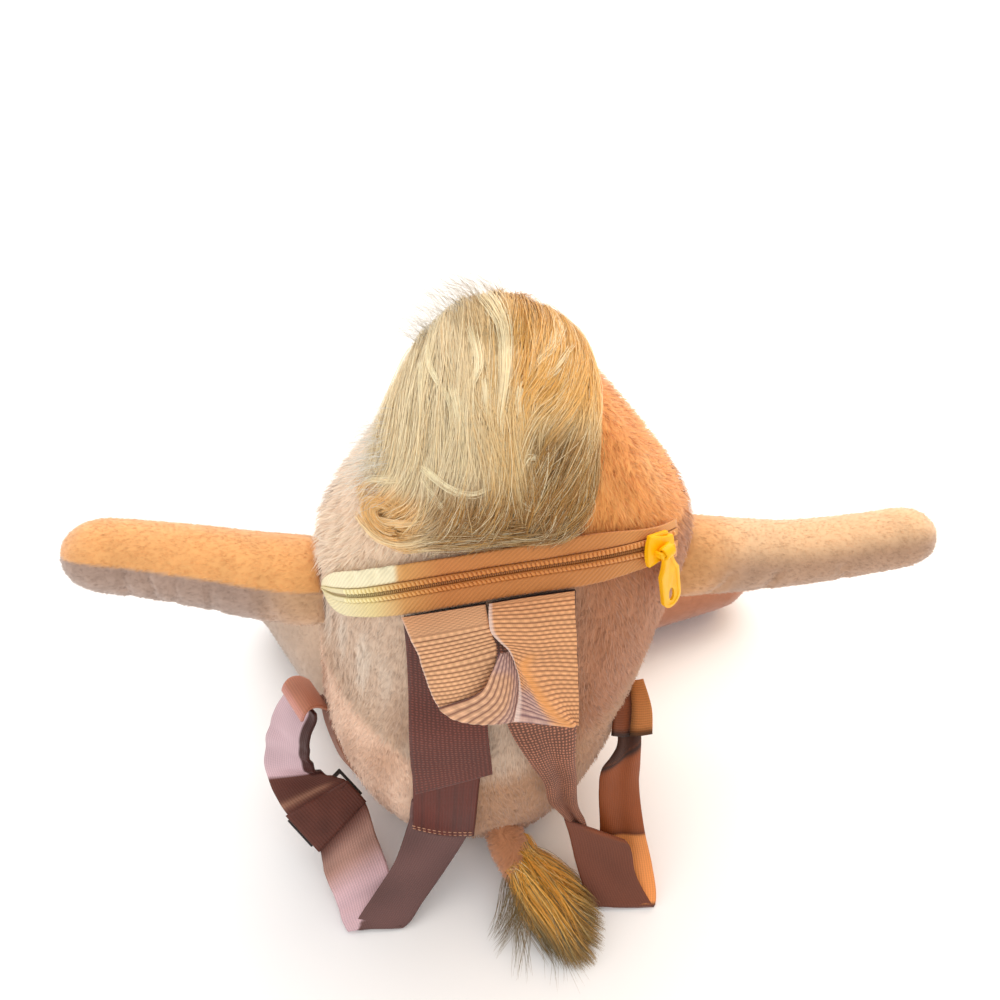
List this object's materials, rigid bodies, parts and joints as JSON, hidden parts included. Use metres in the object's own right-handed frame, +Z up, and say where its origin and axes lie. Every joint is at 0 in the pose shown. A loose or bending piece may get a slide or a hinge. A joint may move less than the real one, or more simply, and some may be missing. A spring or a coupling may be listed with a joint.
{
  "type": "plush animal backpack",
  "caption": "Plush maned animal backpack sitting upright, with a zipped pouch in its back, a grab loop, shoulder straps, outstretched limbs and a tufted tail.",
  "frame": {"origin": "middle of the flat seat, on the floor", "axes": "+Z up; -Y towards the back that is worn, with the zipper and the straps; +X towards the zipper's slider"},
  "size_m": [0.4943, 0.3119, 0.3441],
  "materials": {
    "plush": "long soft pile",
    "cream_plush": "short pile",
    "mane_hair": "long combed fibre",
    "tuft_hair": "long loose fibre",
    "velour": "short pile",
    "zipper_tape": "woven twill",
    "zipper_coil": "moulded coil",
    "loop_webbing": "coarse ribbed webbing",
    "strap_webbing": "fine woven webbing",
    "tab_webbing": "woven webbing",
    "yellow_plastic": "moulded, satin gloss",
    "black_plastic": "moulded"
  },
  "bodies": {
    "plush": {"body": "plush", "mane": "mane_hair", "zipper_tape_upper": "zipper_tape", "zipper_tape_lower": "zipper_tape", "zipper_chain": "zipper_coil", "arm_left": "velour", "arm_right": "velour", "leg_left": "velour", "leg_right": "velour", "tail_stem": "velour", "tail_tuft": "tuft_hair", "grab_loop": "loop_webbing", "strap_left_upper": "strap_webbing", "strap_left_middle": "strap_webbing", "strap_left_lower": "strap_webbing", "strap_left_tab": "tab_webbing", "strap_adjuster": "black_plastic", "strap_right_upper": "strap_webbing", "strap_right_lower": "strap_webbing", "strap_right_tab": "tab_webbing", "muzzle": "cream_plush", "nose": "black_plastic", "eye_left": "black_plastic", "eye_right": "black_plastic", "zipper_slider": "yellow_plastic"},
    "pull": {"zipper_pull": "yellow_plastic"}
  },
  "joints": [
    {"name": "pull_swing", "type": "hinge", "parent": "plush", "child": "pull", "pos_m": [0.09147, -0.05129, 0.24643], "axis": [-0.7954, -0.5943, -0.119], "range_deg": [0, 150]}
  ]
}
